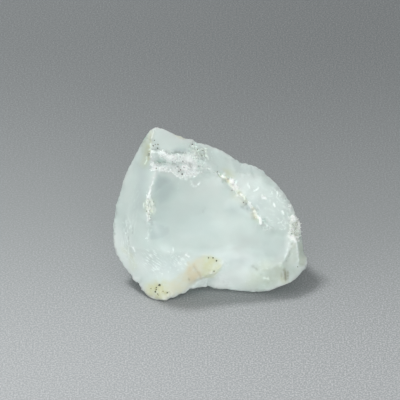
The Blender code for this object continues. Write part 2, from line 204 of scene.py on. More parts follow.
# White frosted strokes and wisps; two of them, on the foot and the belly, are painted light.
MARKS["white"] = [
    # the ledge and its rim
    (along, [(-7.79, 18.53), (-8.13, 17.76), (-8.39, 16.61)], 0.15, 0.75),
    (along, [(-8.45, 16.38), (-8.53, 15.9), (-8.76, 15.04)], 0.25, 1.1),
    (along, [(-8.88, 20.98), (-9.09, 20.33), (-9.31, 19.83)], 0.2, 0.8),
    (along, [(-7.02, 21.48), (-6.3, 20.98), (-5.58, 20.62), (-4.87, 20.69)], 0.4, 1.0),
    (along, [(-5.73, 20.98), (-5.16, 20.69), (-5.3, 20.26)], 0.4, 1.0),
    (along, [(-3.44, 20.48), (-3.08, 19.48), (-3.22, 18.33)], 0.5, 1.0),
    (along, [(-7.02, 21.48), (-6.01, 20.91), (-4.87, 20.33)], 0.45, 0.9),
    (within, [(-4.01, 20.76), (-2.72, 20.62), (-1.86, 19.9), (-1.86, 18.76), (-2.58, 18.04),
              (-3.58, 18.04), (-4.01, 19.19)], 0.8, 1.0),
    (within, [(-6.3, 21.05), (-4.73, 20.91), (-3.72, 20.48), (-3.44, 19.19), (-3.72, 18.04),
              (-5.16, 18.54), (-5.73, 19.19), (-6.16, 20.33)], 0.9, 0.5),
    (along, [(-2.79, 20.05), (-2.65, 19.33), (-2.29, 19.19)], 0.4, 1.0),
    (along, [(-8.31, 19.62), (-7.59, 19.26), (-6.73, 19.4), (-5.73, 19.48)], 0.28, 0.8),
    (along, [(-8.31, 18.9), (-7.16, 18.83), (-5.73, 18.69), (-4.58, 18.11), (-3.94, 17.54)], 0.25, 0.75),
    (within, [(-2.86, 18.86), (-1.36, 18.86), (-1.36, 18.07), (-2.36, 17.9), (-2.79, 18.33)], 0.5, 0.5),
    (along, [(-2.78, 17.33), (-2.61, 16.93)], 0.26, 0.65),
    (along, [(-2.32, 16.75), (-1.92, 16.68)], 0.26, 0.75),
    (along, [(-1.69, 16.87), (-1.26, 17.13)], 0.24, 0.8),
    (along, [(-4.51, 17.33), (-4.5, 15.75)], 0.12, 0.25),
    # the ridge beside the prism face
    (along, [(-8.91, 14.89), (-8.99, 13.6)], 0.17, 0.8),
    (along, [(-9.34, 14.25), (-9.45, 13.39)], 0.17, 0.7),
    (along, [(-8.28, 14.46), (-8.19, 13.03)], 0.16, 0.7),
    (along, [(-8.62, 13.89), (-8.56, 12.32)], 0.16, 0.8),
    (along, [(-8.96, 12.74), (-8.88, 11.6)], 0.15, 0.6),
    (along, [(-8.36, 11.46), (-8.45, 10.17)], 0.13, 0.35),
    (along, [(-8.79, 10.02), (-8.85, 8.74)], 0.13, 0.4),
    (along, [(-7.95, 23.06), (-8.33, 21.77)], 0.12, 0.25),
    # wisps on the upper right face
    (along, [(5.41, 16.9), (5.47, 16.67)], 0.24, 1.1),
    (along, [(5.58, 16.55), (5.7, 16.35)], 0.24, 1.0),
    (along, [(6.36, 15.92), (6.5, 15.87)], 0.22, 0.9),
    (along, [(6.62, 16.01), (6.72, 16.12)], 0.24, 1.0),
    (along, [(6.82, 16.21), (6.93, 16.32)], 0.2, 0.8),
    (along, [(7.5, 15.21), (7.7, 14.98)], 0.38, 1.15),
    (along, [(7.82, 15.01), (7.93, 14.78)], 0.2, 0.8),
    (along, [(9.28, 13.98), (9.37, 13.69)], 0.32, 1.2),
    (along, [(9.16, 14.23), (9.22, 14.12)], 0.18, 0.7),
    (along, [(9.65, 15.84), (9.72, 15.58)], 0.22, 1.0),
    (along, [(9.97, 15.47), (10.14, 15.29)], 0.2, 0.7),
    (along, [(10.4, 12.95), (10.51, 12.63)], 0.32, 1.2),
    (along, [(10.63, 13.6), (10.71, 13.37)], 0.24, 0.9),
    (within, [(5.16, 17.33), (7.16, 16.9), (10.02, 16.04), (11.74, 13.75), (11.46, 11.46), (8.31, 14.03),
              (6.01, 15.47), (4.87, 16.32)], 1.2, 0.08),
    (along, [(9.64, 12.09), (9.88, 11.74)], 0.28, 0.6),
    (along, [(10.6, 13.68), (11.1, 13.25)], 0.35, 0.6),
    (along, [(8.59, 14.61), (8.69, 14.18)], 0.22, 0.6),
    (along, [(10.02, 14.39), (10.81, 14.03)], 0.3, 0.55),
    (along, [(8.02, 13.46), (9.16, 13.03)], 0.35, 0.35),
    (along, [(9.02, 16.32), (10.31, 15.47)], 0.35, 0.4),
    (along, [(6.87, 14.46), (7.45, 14.11)], 0.3, 0.3),
    (along, [(7.45, 16.4), (8.31, 16.04)], 0.25, 0.3),
    (along, [(8.59, 12.6), (9.45, 12.46)], 0.3, 0.3),
    (along, [(11.17, 12.74), (11.38, 12.03)], 0.3, 0.5),
    (along, [(8.31, 15.11), (8.88, 14.96)], 0.22, 0.4),
    (along, [(6.87, 13.75), (7.16, 13.17)], 0.22, 0.45),
    (along, [(9.45, 15.18), (9.88, 14.61)], 0.25, 0.5),
    (along, [(11.17, 13.75), (11.6, 12.89)], 0.3, 0.6),
    (along, [(10.45, 12.17), (10.74, 11.6)], 0.25, 0.45),
    (along, [(8.74, 13.75), (9.02, 13.32)], 0.25, 0.4),
    (along, [(10.81, 11.17), (10.95, 10.45)], 0.25, 0.4),
    (within, [(8.88, 16.32), (10.6, 15.04), (12.03, 12.6), (11.46, 11.89), (10.02, 12.89), (8.59, 14.18),
              (7.73, 15.47)], 1.6, 0.2),
    # strokes at the left rim
    (along, [(-12, 11.6), (-11.8, 10.02)], 0.18, 0.55),
    (along, [(-11.54, 11.89), (-11.4, 10.74)], 0.14, 0.45),
    (along, [(-12.37, 10.45), (-12.2, 9.16)], 0.14, 0.35),
    (along, [(-11.38, 9.45), (-11.24, 8.31)], 0.14, 0.4),
    (along, [(-11.89, 7.59), (-11.63, 6.44)], 0.16, 0.4),
    (along, [(-11.17, 8.02), (-11.03, 7.16)], 0.14, 0.45),
    (along, [(-12.74, 8.45), (-12.46, 7.45)], 0.13, 0.3),
    (along, [(-10.94, 6.44), (-10.65, 5.44)], 0.15, 0.35),
    # the ridge between the hollow and the upper right face
    (along, [(1.55, 18.22), (1.92, 17.93)], 0.18, 0.9),
    (along, [(3.08, 17.26), (3.75, 16.32)], 0.7, 1.3),
    (along, [(4.38, 15.52), (4.58, 15.27)], 0.24, 0.9),
    (along, [(4.78, 15.04), (4.95, 14.81)], 0.26, 1.0),
    (along, [(5.7, 14.21), (5.81, 14)], 0.24, 1.1),
    (along, [(5.81, 13.75), (5.9, 13.55)], 0.2, 0.8),
    (along, [(6.3, 12.95), (6.42, 12.72)], 0.3, 1.1),
    (along, [(6.56, 12.52), (6.79, 12.23)], 0.34, 1.1),
    (along, [(7.1, 11.94), (7.27, 11.37)], 0.36, 1.2),
    (along, [(7.88, 11.31), (8.13, 10.97)], 0.24, 0.7),
    # the right end
    (along, [(11.91, 12.32), (12.1, 11.67)], 0.6, 1.2),
    (along, [(12.96, 12.32), (13.1, 11.31)], 0.4, 0.8),
    (along, [(11.53, 10.88), (11.6, 9.88)], 0.35, 0.8),
    (along, [(11.63, 9.38), (11.74, 8.95)], 0.42, 1.1),
    (along, [(12.07, 9.09), (12.37, 8.66)], 0.5, 1.1),
    (along, [(12.72, 11.51), (12.86, 10.45)], 0.32, 1.2),
    (along, [(12.95, 11.17), (13.03, 10.17)], 0.22, 0.7),
    (along, [(12.32, 10.02), (12.52, 9.31)], 0.3, 1.0),
    (along, [(12.66, 10.88), (12.8, 9.45)], 0.4, 0.6),
    (along, [(11.94, 10.6), (12.09, 9.59)], 0.35, 0.7),
    (along, [(11.71, 11.17), (11.83, 10.45)], 0.22, 0.8),
    (along, [(12.54, 8.45), (12.57, 7.02), (12.74, 5.73)], 0.26, 0.75),
    (along, [(13.5, 8.45), (13.79, 6.87)], 0.2, 0.4),
    (along, [(11.46, 8.59), (11.07, 7.37), (10.6, 6.01)], 0.18, 0.5),
    # the foot and the belly
    # a painted highlight along the foot's lower lip
    (along, [(-3.44, 1.58), (-2.43, 2.36), (-1.43, 2.94), (-0.43, 3.22), (-0.57, 2.36)], 0.45, 0.6),
    (along, [(6.16, 1.5), (8.59, 1.55), (10.45, 2.22), (11.74, 2.86)], 0.18, 0.5),
    # painted light that lifts the shade in the fold between the foot and the belly
    (along, [(0.43, 4.58), (1.43, 3.58), (2.72, 2.43)], 1.3, 0.4),
    (along, [(7.59, 3.58), (8.31, 3.32)], 0.26, 0.9),
    (along, [(-3.44, 6.8), (-3.01, 6.59)], 0.3, 0.8),
    (along, [(-5.16, 7.59), (-4.95, 7.3)], 0.25, 0.7),
    (along, [(-10.97, 7.8), (-10.8, 7.3)], 0.25, 0.8),
    (along, [(-12.32, 7.52), (-11.74, 7.3)], 0.2, 0.5),
]

# Cracks and narrow pockets, dented a little into the relief and darkened with painted shade.
MARKS["gap"] = [
    # the ledge
    (along, [(-7.52, 22.01), (-6.73, 21.59), (-5.66, 21.22)], 0.2, 0.5),
    (along, [(-7.68, 25.49), (-8.02, 24.63), (-8.33, 23.06)], 0.5, 0.3),
    (along, [(-5.44, 21.34), (-3.44, 21.39)], 0.2, 0.8),
    (along, [(-8.31, 21.82), (-7.45, 22)], 0.16, 0.5),
    (along, [(-8.65, 21.77), (-8.63, 21.05), (-8.79, 20.76)], 0.2, 0.7),
    (along, [(-7.62, 20.19), (-7.16, 19.69)], 0.3, 0.2),
    # the hollow and the belly
    (along, [(-1.15, 12.67), (-0.72, 13.46)], 0.16, 0.16),
    (along, [(5.87, 5.3), (6.73, 4.73), (7.3, 3.87)], 0.14, 0.25),
    (along, [(11.83, 8.45), (11.57, 7.45), (11.14, 6.3), (10.65, 5.51)], 0.18, 0.4),
    (along, [(3.44, 18.62), (5.73, 18.44), (8.09, 18.13)], 0.12, 0.16),
    (along, [(7.73, 2.78), (8.59, 2.78)], 0.14, 0.2),
    (along, [(-2.38, 5.16), (-1.86, 4.44), (-1.46, 4.01), (-1.37, 3.44)], 0.25, 0.2),
    # the right end
    (along, [(11.91, 11.31), (12.11, 10.31)], 0.18, 0.35),
    (along, [(12.86, 10.1), (12.92, 9.24)], 0.16, 0.3),
    (along, [(11.69, 10.38), (11.74, 9.59)], 0.16, 0.3),
    (along, [(12.37, 11.74), (12.52, 11.17)], 0.16, 0.4),
    # the left rim
    (along, [(-11.6, 9.31), (-11.69, 8.16)], 0.16, 0.4),
    (along, [(-11.08, 10.6), (-11.14, 9.74)], 0.13, 0.3),
]

# Stains of iron oxide and clay, by their colour. The olive on the belly is partly painted shade.
MARKS["yellow"] = [
    (within, [(-9.16, 2.58), (-7.73, 3.01), (-6.3, 2.94), (-5.44, 2), (-5.58, 0.86), (-6.73, -0.14),
              (-8.16, 0), (-9.02, 1.15)], 1.2, 1.0),
    (within, [(-1.15, 6.52), (0, 6.73), (1.43, 6.09), (1.72, 5.37), (1.29, 4.58), (0.57, 3.58),
              (-0.72, 3.29), (-1.36, 3.72), (-1.29, 5.16)], 0.7, 0.85),
    (along, [(0.29, 5.16), (1.29, 5.16)], 0.5, 1.0),
    (along, [(-8.59, 24.2), (-8.88, 22.48), (-9.16, 20.62), (-9.45, 19.76)], 1.0, 0.5),
    (along, [(-8.52, 23.34), (-8.59, 21.77), (-8.95, 20.33)], 0.4, 0.9),
    (along, [(-4.3, 23.66), (-3.58, 23.46)], 0.35, 1.0),
    (along, [(-5.16, 24.13), (-4.58, 23.77)], 0.3, 0.7),
    (within, [(1.72, 19.19), (3.01, 18.76), (3.79, 18.04), (3.29, 17.4), (2.29, 18.04)], 0.7, 0.5),
    (along, [(1.58, 18.04), (3.01, 17.04), (4.01, 15.9), (5.16, 14.46)], 0.6, 0.45),
    (along, [(3.29, 15.32), (4.73, 14.25)], 0.9, 0.28),
    (along, [(6.01, 12.6), (6.87, 11.6)], 0.6, 0.35),
    (within, [(11.6, 12.46), (12.32, 12.67), (12.89, 11.74), (13.17, 10.02), (12.6, 8.59), (11.6, 8.81),
              (11.31, 10.31)], 1.0, 0.32),
    (within, [(-9.45, 14.75), (-7.88, 14.75), (-7.88, 12.74), (-8.59, 12.17), (-9.45, 13.03)], 0.9, 0.3),
    (along, [(10.24, 3.44), (10.6, 2.72), (11.31, 2.65)], 0.6, 0.6),
    (along, [(-12.32, 7.45), (-11.31, 6.66), (-11.03, 4.87)], 0.9, 0.3),
    (along, [(-3.72, 3.51), (-2.86, 3.08)], 0.45, 0.7),
]
MARKS["tan"] = [
    (within, [(-3.15, 5.66), (-2.43, 5.37), (-1.58, 4.3), (-1.22, 3.58), (-2, 2.86), (-2.94, 2.94),
              (-3.29, 4.01)], 0.7, 0.8),
    (along, [(-2.43, 5.3), (-1.5, 4.08), (-1.36, 3.44)], 0.45, 1.0),
    (along, [(6.16, 13.39), (6.59, 12.24)], 0.5, 0.5),
    (along, [(2.29, 17.76), (2.72, 17.33)], 0.3, 0.5),
]
MARKS["ochre"] = [
    (within, [(-6.01, 2.72), (-5.01, 3.29), (-3.72, 4.58), (-2.86, 5.73), (-1.86, 6.37), (-0.86, 6.73),
              (-1.15, 4.58), (-2.43, 2.72), (-4.01, 1.29), (-5.58, 0.5), (-6.16, 1.43)], 0.9, 1.0),
]
MARKS["olive"] = [
    (within, [(12.67, 8.59), (13.39, 8.59), (13.68, 6.44), (13.46, 5.01), (12.89, 4.94),
              (12.69, 6.59)], 0.35, 0.6),
    (within, [(11.67, 8.38), (12.46, 8.38), (12.46, 7.45), (11.53, 7.45)], 0.35, 0.5),
    # the belly: an olive stain, on its right partly painted shade
    (within, [(6.59, 5.73), (10.74, 5.73), (11.6, 3.72), (10.45, 2.15), (7.73, 1.72),
              (4.87, 2.15)], 2.2, 0.55),
    (within, [(11.46, 7.45), (12.53, 7.37), (12.67, 5.58), (11.17, 5.01), (10.38, 5.37)], 0.5, 0.35),
    (within, [(11.46, 4.87), (13.03, 4.58), (12.74, 3.58), (11.6, 2.86), (11.17, 4.01)], 0.9, 0.45),
    (along, [(-9.45, 23.06), (-8.88, 21.48)], 1.2, 0.35),
    (within, [(-2.58, 22.2), (-0.43, 22.05), (-0.29, 20.62), (-2.29, 20.55)], 1.0, 0.4),
]
MARKS["brown"] = [
    (along, [(10.63, 4.44), (10.77, 3.87), (10.88, 3.22)], 0.34, 0.85),
    (along, [(11.14, 4.3), (11.2, 3.37)], 0.3, 0.8),
    (along, [(10.25, 4.01), (10.28, 3.65)], 0.2, 0.45),
    (along, [(-3.08, 3.29), (-2.94, 3.15)], 0.25, 0.45),
]

# Zones that are clearer than the rest, letting more light through and coloured darker and bluer;
# on the hollow's left side that darker colour is painted shade.
MARKS["clear"] = [
    (within, [(-7.59, 18.33), (-5.87, 17.9), (-5.16, 17.33), (-6.16, 16.75), (-7.16, 15.9), (-7.95, 15.61),
              (-8.02, 16.9), (-7.73, 17.76)], 1.3, 0.55),
    (within, [(-7.66, 18.33), (-4.87, 17.47), (-4.73, 16.04), (-5.73, 14.46), (-7.3, 13.46),
              (-8.02, 15.04)], 2.4, 0.45),
    (within, [(-8.65, 11.46), (-7.45, 11.6), (-5.58, 10.88), (-5.58, 9.88), (-6.59, 9.02), (-8.31, 8.74),
              (-8.65, 9.16)], 0.9, 0.42),
    (within, [(-8.65, 11.89), (-5.44, 12.17), (-4.3, 10.02), (-5.44, 8.16), (-8.65, 8.02)], 2.6, 0.3),
    (within, [(2.86, 20.62), (4.3, 20.33), (7.73, 19.19), (8.16, 18.22), (5.73, 18.5),
              (3.72, 18.64)], 0.3, 0.3),
    (within, [(-5.44, 21.77), (-4.58, 22.11), (-3.29, 22.05), (-2.94, 21.62), (-3.72, 21.34),
              (-5.01, 21.34)], 0.7, 0.5),
    (within, [(-2, 22.2), (0.29, 21.77), (2.29, 20.62), (0.29, 20.19), (-1.72, 20.33)], 1.0, 0.22),
    (within, [(7.73, 8.74), (9.74, 9.16), (11.03, 8.81), (10.67, 7.02), (9.45, 6.3), (7.73, 6.59),
              (7.16, 7.73)], 0.8, 0.22),
    (along, [(-10.02, 20.33), (-10.17, 12.6)], 1.6, 0.22),
    (along, [(-9.02, 20.33), (-9.02, 15.18)], 1.0, 0.3),
    (within, [(-10.88, 20.05), (-8.59, 20.33), (-8.59, 15.18), (-9.02, 12.32), (-11.17, 12.89)], 2.6, 0.4),
    (within, [(-0.86, 7.16), (7.45, 7.16), (7.45, 4.87), (2.29, 5.16), (-0.29, 6.3)], 2.6, 0.42),
    (within, [(-9.16, 6.59), (-4.3, 6.59), (-4.3, 4.01), (-8.59, 4.01)], 2.4, 0.36),
    (along, [(3.15, 13.17), (6.87, 13.89)], 1.8, 0.35),
    (within, [(-8.31, 14.89), (-5.01, 14.18), (-0.72, 14.18), (0.86, 9.45), (-5.73, 8.59),
              (-8.31, 8.88)], 3.2, 0.3),
    (along, [(-12.03, 13.89), (-12.32, 8.88)], 0.8, 0.2),
    (along, [(-13.17, 10.02), (-13.03, 7.45)], 0.7, 0.15),
]

# Zones with the most milk.
MARKS["milky"] = [
    (within, [(-15.18, 9.45), (-12.6, 7.73), (-8.59, 6.01), (-1.43, 6.87), (2.58, 8.02), (7.45, 7.16),
              (8.59, 5.44), (7.45, 3.15), (5.73, 1.43), (4.3, 1.15), (-0.57, 2), (-5.73, 0.29),
              (-8.59, 0.57), (-11.46, 3.44), (-14.32, 7.73)], 3.2, 0.8),
    (within, [(2.29, 17.61), (7.45, 17.9), (10.88, 14.75), (12.46, 12.32), (11.6, 9.45), (8.02, 10.88),
              (5.16, 14.32)], 1.8, 0.7),
    (within, [(-18.04, 14.61), (-15.18, 15.18), (-13.46, 11.46), (-11.74, 7.73), (-8.88, 4.58),
              (-9.16, 0.29), (-14.32, 1.72), (-18.04, 8.88)], 3.0, 0.85),
    (within, [(10.31, 12.03), (13.46, 11.46), (14.61, 5.73), (12.89, 4.3), (11.17, 5.44),
              (10.6, 8.88)], 1.5, 0.6),
    (within, [(-2.86, 12.89), (5.01, 13.17), (10.88, 9.59), (10.88, 5.73), (4.3, 7.45), (-2.15, 7.16),
              (-5.01, 8.88)], 4.0, 0.33),
]

# Zones with fine white speckles.
MARKS["speckled"] = [
    (within, [(4.3, 17.76), (7.45, 17.76), (10.6, 15.47), (12.6, 12.6), (12.89, 10.02), (11.17, 8.88),
              (9.45, 11.17), (7.45, 13.75), (5.44, 15.75)], 2.0, 0.8),
    (within, [(-13.17, 12.89), (-11.46, 12.6), (-10.6, 8.88), (-9.74, 5.73), (-11.46, 4.87),
              (-12.6, 8.02)], 1.6, 0.55),
    (within, [(-9.74, 7.73), (-2.86, 7.16), (-3.44, 4.58), (-7.16, 3.15), (-9.45, 5.16)], 2.0, 0.45),
    (within, [(11.46, 8.59), (13.46, 8.59), (14.03, 5.73), (13.17, 3.72), (11.17, 3.72),
              (10.88, 6.3)], 1.0, 0.5),
    (within, [(-3.72, 23.48), (0.57, 22.05), (3.15, 20.05), (1.72, 18.9), (-0.86, 19.48),
              (-2, 20.62)], 1.6, 0.4),
    (within, [(4.3, 5.73), (10.6, 5.73), (11.46, 3.44), (7.45, 1.72), (3.72, 2.58)], 2.5, 0.3),
]

# Rims with small chips.
MARKS["chipped"] = [
    (along, [(-14.32, 6.73), (-13.03, 5.16), (-11.46, 3.72), (-10.31, 3.01), (-9.02, 1.43), (-8.45, 0.43),
             (-6.3, 0), (-4.01, 0.72), (-1.43, 2.15)], 0.7, 1.0),
    (along, [(0.86, 2), (3.15, 1.72), (7.45, 1.36), (11.17, 2.43), (13.17, 3.87)], 0.45, 0.5),
    (along, [(13.17, 11.03), (13.6, 8.88), (13.89, 6.87)], 0.5, 0.8),
    (along, [(-12.74, 15.75), (-11.31, 18.62), (-9.88, 21.48)], 0.45, 0.5),
    (along, [(-4.58, 23.63), (-3.15, 22.98), (-1.43, 22.7), (0.29, 22.2), (2.29, 20.91), (4.73, 19.76),
             (7.45, 18.9), (8.74, 17.33), (10.6, 15.18), (12.46, 12.74)], 0.6, 0.7),
    (along, [(-15.04, 12.46), (-14.89, 8.88), (-14.32, 6.87)], 0.45, 0.5),
]

# Rounded swellings.
MARKS["swollen"] = [
    (along, [(13.65, 6.09), (13.89, 5.58), (13.65, 5.01)], 0.75, 1.0),
    (along, [(-10.88, 3.29), (-10.31, 2.72)], 0.8, 0.7),
    (along, [(-10.17, 2.43), (-9.59, 1.72), (-9.09, 0.86)], 0.9, 1.4),
    (along, [(-3.72, 1.29), (-2, 2.08), (-0.43, 2.29), (1.72, 2)], 0.8, 0.9),
    (along, [(11.97, 12.23), (12.17, 11.74)], 0.4, 0.8),
    (along, [(12.74, 11.31), (12.83, 10.45)], 0.35, 0.4),
    (along, [(11.89, 9.37), (12.24, 8.88)], 0.45, 0.6),
    (along, [(3.24, 17.13), (3.67, 16.47)], 0.5, 0.4),
]

# The deepest pockets of the ledge, made less deep.
MARKS["filled"] = [
    (within, [(-3.72, 20.48), (-2.86, 20.62), (-2.08, 20.19), (-2.08, 19.62), (-2.72, 19.12),
              (-3.44, 19.26), (-3.79, 19.76)], 1.0, 1.0),
    (within, [(-5.44, 20.41), (-3.72, 20.48), (-3.58, 19.62), (-4.87, 19.48)], 1.0, 0.5),
]

# Growth streaks on the left face.
MARKS["streaked"] = [
    (along, [(-11.6, 11.6), (-12.17, 8.59)], 1.1, 1.0),
    (along, [(-11.74, 7.59), (-11.03, 5.16)], 0.9, 0.8),
    (along, [(-10.6, 16.04), (-11.03, 10.02)], 1.3, 0.45),
]

# Feathery hackles on the breaks.
MARKS["feathered"] = [
    (within, [(-9.88, 7.73), (-7.45, 7.45), (-6.3, 5.73), (-7.73, 4.01), (-9.45, 4.87)], 1.4, 0.9),
    (within, [(-5.73, 7.02), (-3.15, 6.73), (-3.15, 5.01), (-5.16, 4.58)], 1.2, 0.75),
    (within, [(-13.17, 8.88), (-11.17, 8.02), (-10.31, 5.73), (-11.17, 4.58), (-12.6, 6.3)], 1.4, 0.45),
]

# Marks have uneven borders, and sugar crumbles away in spots. The stone is marked where it faces the front
# view (1 is squarely, 0 edge-on), and its hidden side fades in where it turns away.
BORDER_SIZE, BORDER_WANDER = 0.9, 0.16
SUGAR_SPOT_SIZE, SUGAR_SPOTS = 0.4, 0.45
MARKED_FACINGS = -0.15, 0.10
HIDDEN_FACINGS = 0.0, 0.2


def marks_at(points, normals):
    """Every mark's strength at each point, its place as seen from the front, and if it faces there."""
    mm = points / MM
    view = seen_from_front(points)
    facing = normals @ TO_VIEWER
    wander = np.column_stack([noise_at(mm, BORDER_SIZE, seed) for seed in (3.0, 17.0)])
    places = view + BORDER_WANDER * wander
    front = ramp(facing, *MARKED_FACINGS)
    marks = {}
    for name, shapes in MARKS.items():
        marks[name] = np.zeros(len(points))
        for shape, line, reach, strength in shapes:
            low, high = np.min(line, axis=0) - reach, np.max(line, axis=0) + reach
            around = np.all((places > low) & (places < high), axis=1)
            near = np.flatnonzero(around & (front > 0.0))
            amount = strength * shape(places[near], line, reach) * front[near]
            marks[name][near] = np.maximum(marks[name][near], amount)
    sugar = marks["sugar"] * (1.0 - marks["bare"])
    broken_up = sugar + SUGAR_SPOTS * noise_at(mm, SUGAR_SPOT_SIZE, seed=8.0)
    marks["sugar"] = np.where(sugar > 0.0, smooth(ramp(broken_up, 0.25, 0.75)), 0.0)
    marks["hidden"] = ramp(-facing, *HIDDEN_FACINGS)
    return marks, view, front


def points_and_normals(mesh):
    """The places and the normals of a mesh's points, as two arrays of vectors."""
    places = np.zeros((len(mesh.vertices), 3))
    normals = np.zeros((len(mesh.vertices), 3))
    mesh.vertices.foreach_get("co", places.ravel())
    mesh.vertex_normals.foreach_get("vector", normals.ravel())
    return places, normals


def evaluated_mesh(holder):
    """A plain mesh of what the holder's modifiers make."""
    bpy.context.view_layer.update()
    evaluated = holder.evaluated_get(bpy.context.evaluated_depsgraph_get())
    return bpy.data.meshes.new_from_object(evaluated)


# An edge is a little crisp from the first bend on, in degrees, and wholly from the second.
CRISP_BENDS = 12.0, 30.0
WORN_REACH = 0.35
SEAM = 0.002


def rounded_solid():
    """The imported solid's copy, rounded between its crisp edges, and those edges' points and crispness."""
    bm = bmesh.new()
    bm.from_mesh(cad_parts["aquamarine"].data)
    bmesh.ops.remove_doubles(bm, verts=bm.verts, dist=SEAM * MM)
    crease = bm.edges.layers.float.new("crease_edge")
    crisp = []
    for edge in bm.edges:
        edge[crease] = ramp(math.degrees(edge.calc_face_angle(0.0)), *CRISP_BENDS)
        if edge[crease] > 0.25:
            start, end = (vertex.co / MM for vertex in edge.verts)
            crisp.extend((start.lerp(end, share), edge[crease]) for share in (0.0, 0.25, 0.5, 0.75))
    coarse = bpy.data.meshes.new("stone_coarse")
    bm.to_mesh(coarse)
    bm.free()
    holder = in_scene("stone_coarse", coarse)
    finer = holder.modifiers.new("finer", "SUBSURF")
    finer.levels = 1
    finer.render_levels = 1
    mesh = evaluated_mesh(holder)
    bpy.data.objects.remove(holder)
    return mesh, crisp


def worn_at(mm, crisp):
    """1 on the stone's crisp edges, falling to 0 at WORN_REACH from them and broken up along them."""
    tree = kdtree.KDTree(len(crisp))
    for i, (place, _) in enumerate(crisp):
        tree.insert(place, i)
    tree.balance()
    worn = np.zeros(len(mm))
    for i, place in enumerate(mm):
        _, nearest, away = tree.find(place)
        worn[i] = crisp[nearest][1] * max(0.0, 1.0 - away / WORN_REACH)
    return smooth(worn) * patches_at(mm, 0.7, cover=0.45, contrast=0.9, seed=21.0)


# Each round halves the mesh's edges where one of its marks is at least that strong.
LINES = ("white", "gap", "brown")
REFINEMENTS = (
    (("hidden", "worn", "chipped", "sugar", "feathered", "streaked", *LINES), 0.05),
    (("sugar", "feathered", "streaked", *LINES), 0.2),
    (LINES, 0.8),
)


def refine(mesh, crisp, kinds, wanted_share):
    """Halve the mesh's edges between points where a mark of these kinds is at least wanted_share strong."""
    points, normals = points_and_normals(mesh)
    marks, _, _ = marks_at(points, normals)
    marks["worn"] = worn_at(points / MM, crisp)
    wanted = np.max([marks[kind] for kind in kinds], axis=0) >= wanted_share
    bm = bmesh.new()
    bm.from_mesh(mesh)
    bm.verts.ensure_lookup_table()
    edges = [edge for edge in bm.edges if all(wanted[vertex.index] for vertex in edge.verts)]
    bmesh.ops.subdivide_edges(bm, edges=edges, cuts=1, use_grid_fill=True)
    bm.to_mesh(mesh)
    bm.free()


# The relief: each kind's size across and its height in millimetres, and its share in the sugar's tone.
# The dust's height also darkens the tone in its hollows, which is painted shade.
UNEVEN_SIZE, UNEVEN_HEIGHT = 1.4, 0.02
BLOCK_SIZE, BLOCK_HEIGHT = 1.15, 0.12
CRUMB_SIZE, CRUMB_HEIGHT = 0.55, 0.10
DUST_SIZE, DUST_HEIGHT = 0.28, 0.06
BLOCK_TONE, CRUMB_TONE, DUST_TONE, DUST_HOLLOW_SHADE = 0.35, 0.45, 0.5, 0.3
CHIP_SIZE, CHIP_HEIGHT, CHIP_SUNK = 0.5, 0.12, 0.05
NICK_SIZE, NICK_HEIGHT, NICK_SUNK = 0.8, 0.16, 0.03
GROWTH_WIDTH, GROWTH_HEIGHT = 0.45, 0.018
STREAK_WIDTH, STREAK_HEIGHT = 0.28, 0.05
RIB_WIDTH, RIB_HEIGHT = 0.7, 0.05
THREAD_WIDTH, THREAD_HEIGHT = 0.3, 0.03
GROWTH_SQUEEZE, RIB_SQUEEZE = 0.06, 0.04
HACKLE_WIDTH, HACKLE_LENGTH, HACKLE_HEIGHT = 0.12, 0.8, 0.07
HACKLE_LEAN = -52.0
RIPPLE_HEIGHT, RIPPLE_RATE = 0.014, 3.4
RIPPLE_WANDER_SIZE, RIPPLE_WANDER = 4.0, 1.2
RIPPLE_MIDDLE, RIPPLES_FROM = (-4.0, 19.0), (3.0, 6.0)
GAP_DEPTH, FROST_HEIGHT = 0.06, 0.03
SWELLING, POCKET_FILLING = 0.35, 0.5

# Where relief fades in: the left growth face, the hollow, and the height above the level underside.
LEFT_FACE_EDGE = 8.9, 9.7
HOLLOW_EDGE = -8.0, -6.0
LEVEL_FOOT = 0.0, 0.6
SHARP_ANGLE = math.radians(32.0)

# How white the frosting is on each kind of mark, two white marks of painted light included, and how much
# of it is left between a white mark's patches.
FROSTED = {"worn": 0.30, "feathered": 0.55, "streaked": 0.40, "white": 0.9}
BETWEEN_PATCHES = 0.4

# The stains' colours, and the marks that the finishes and the grains read from the mesh.
STAINS = {
    "yellow": (0.775, 0.775, 0.53),
    "ochre": (0.82, 0.81, 0.67),
    "tan": (0.80, 0.72, 0.53),
    # the olive stands partly for painted shade on the belly
    "olive": (0.66, 0.71, 0.58),
    "brown": (0.42, 0.40, 0.30),
}
FINISH_MARKS = ("sugar", "tone", "frost_and_painted_light", "gap", "clear", "milky", "speckled", *STAINS)


def crushed_at(mm, sugar, white):
    """Height and tone of the crushed beryl: blocks crumbled in patches, flatter where white, with painted
    shade in dust hollows.
    """
    height = np.zeros(len(mm))
    tone = np.zeros(len(mm))
    some = np.flatnonzero(sugar > 0.02)
    block_height, block_tone = facets_at(mm[some], BLOCK_SIZE, seed=30.0)
    crumb_height, crumb_tone = facets_at(mm[some], CRUMB_SIZE)
    dust_height, dust_tone = facets_at(mm[some], DUST_SIZE, seed=5.0)
    crumbly = smooth(0.6 + 0.9 * block_tone)
    blocks = BLOCK_HEIGHT * (1.0 - 0.7 * np.minimum(white[some], 1.0)) * block_height
    crumbs = CRUMB_HEIGHT * crumb_height + DUST_HEIGHT * dust_height
    height[some] = sugar[some] * (blocks + crumbly * crumbs)
    # Low dust darkens the tone: painted shade in the crumbs' hollows.
    fine_tone = CRUMB_TONE * crumb_tone + DUST_TONE * dust_tone + DUST_HOLLOW_SHADE * dust_height
    tone[some] = 0.1 + BLOCK_TONE * block_tone + crumbly * fine_tone
    return height, tone + white


def chipped_at(mm, share, size, height, sunk, seed):
    """Height of the small chips where that share of the edge is chipped away."""
    heights = np.zeros(len(mm))
    some = np.flatnonzero(share > 0.05)
    chips, _ = facets_at(mm[some], size, seed)
    heights[some] = share[some] * (height * chips - sunk)
    return heights


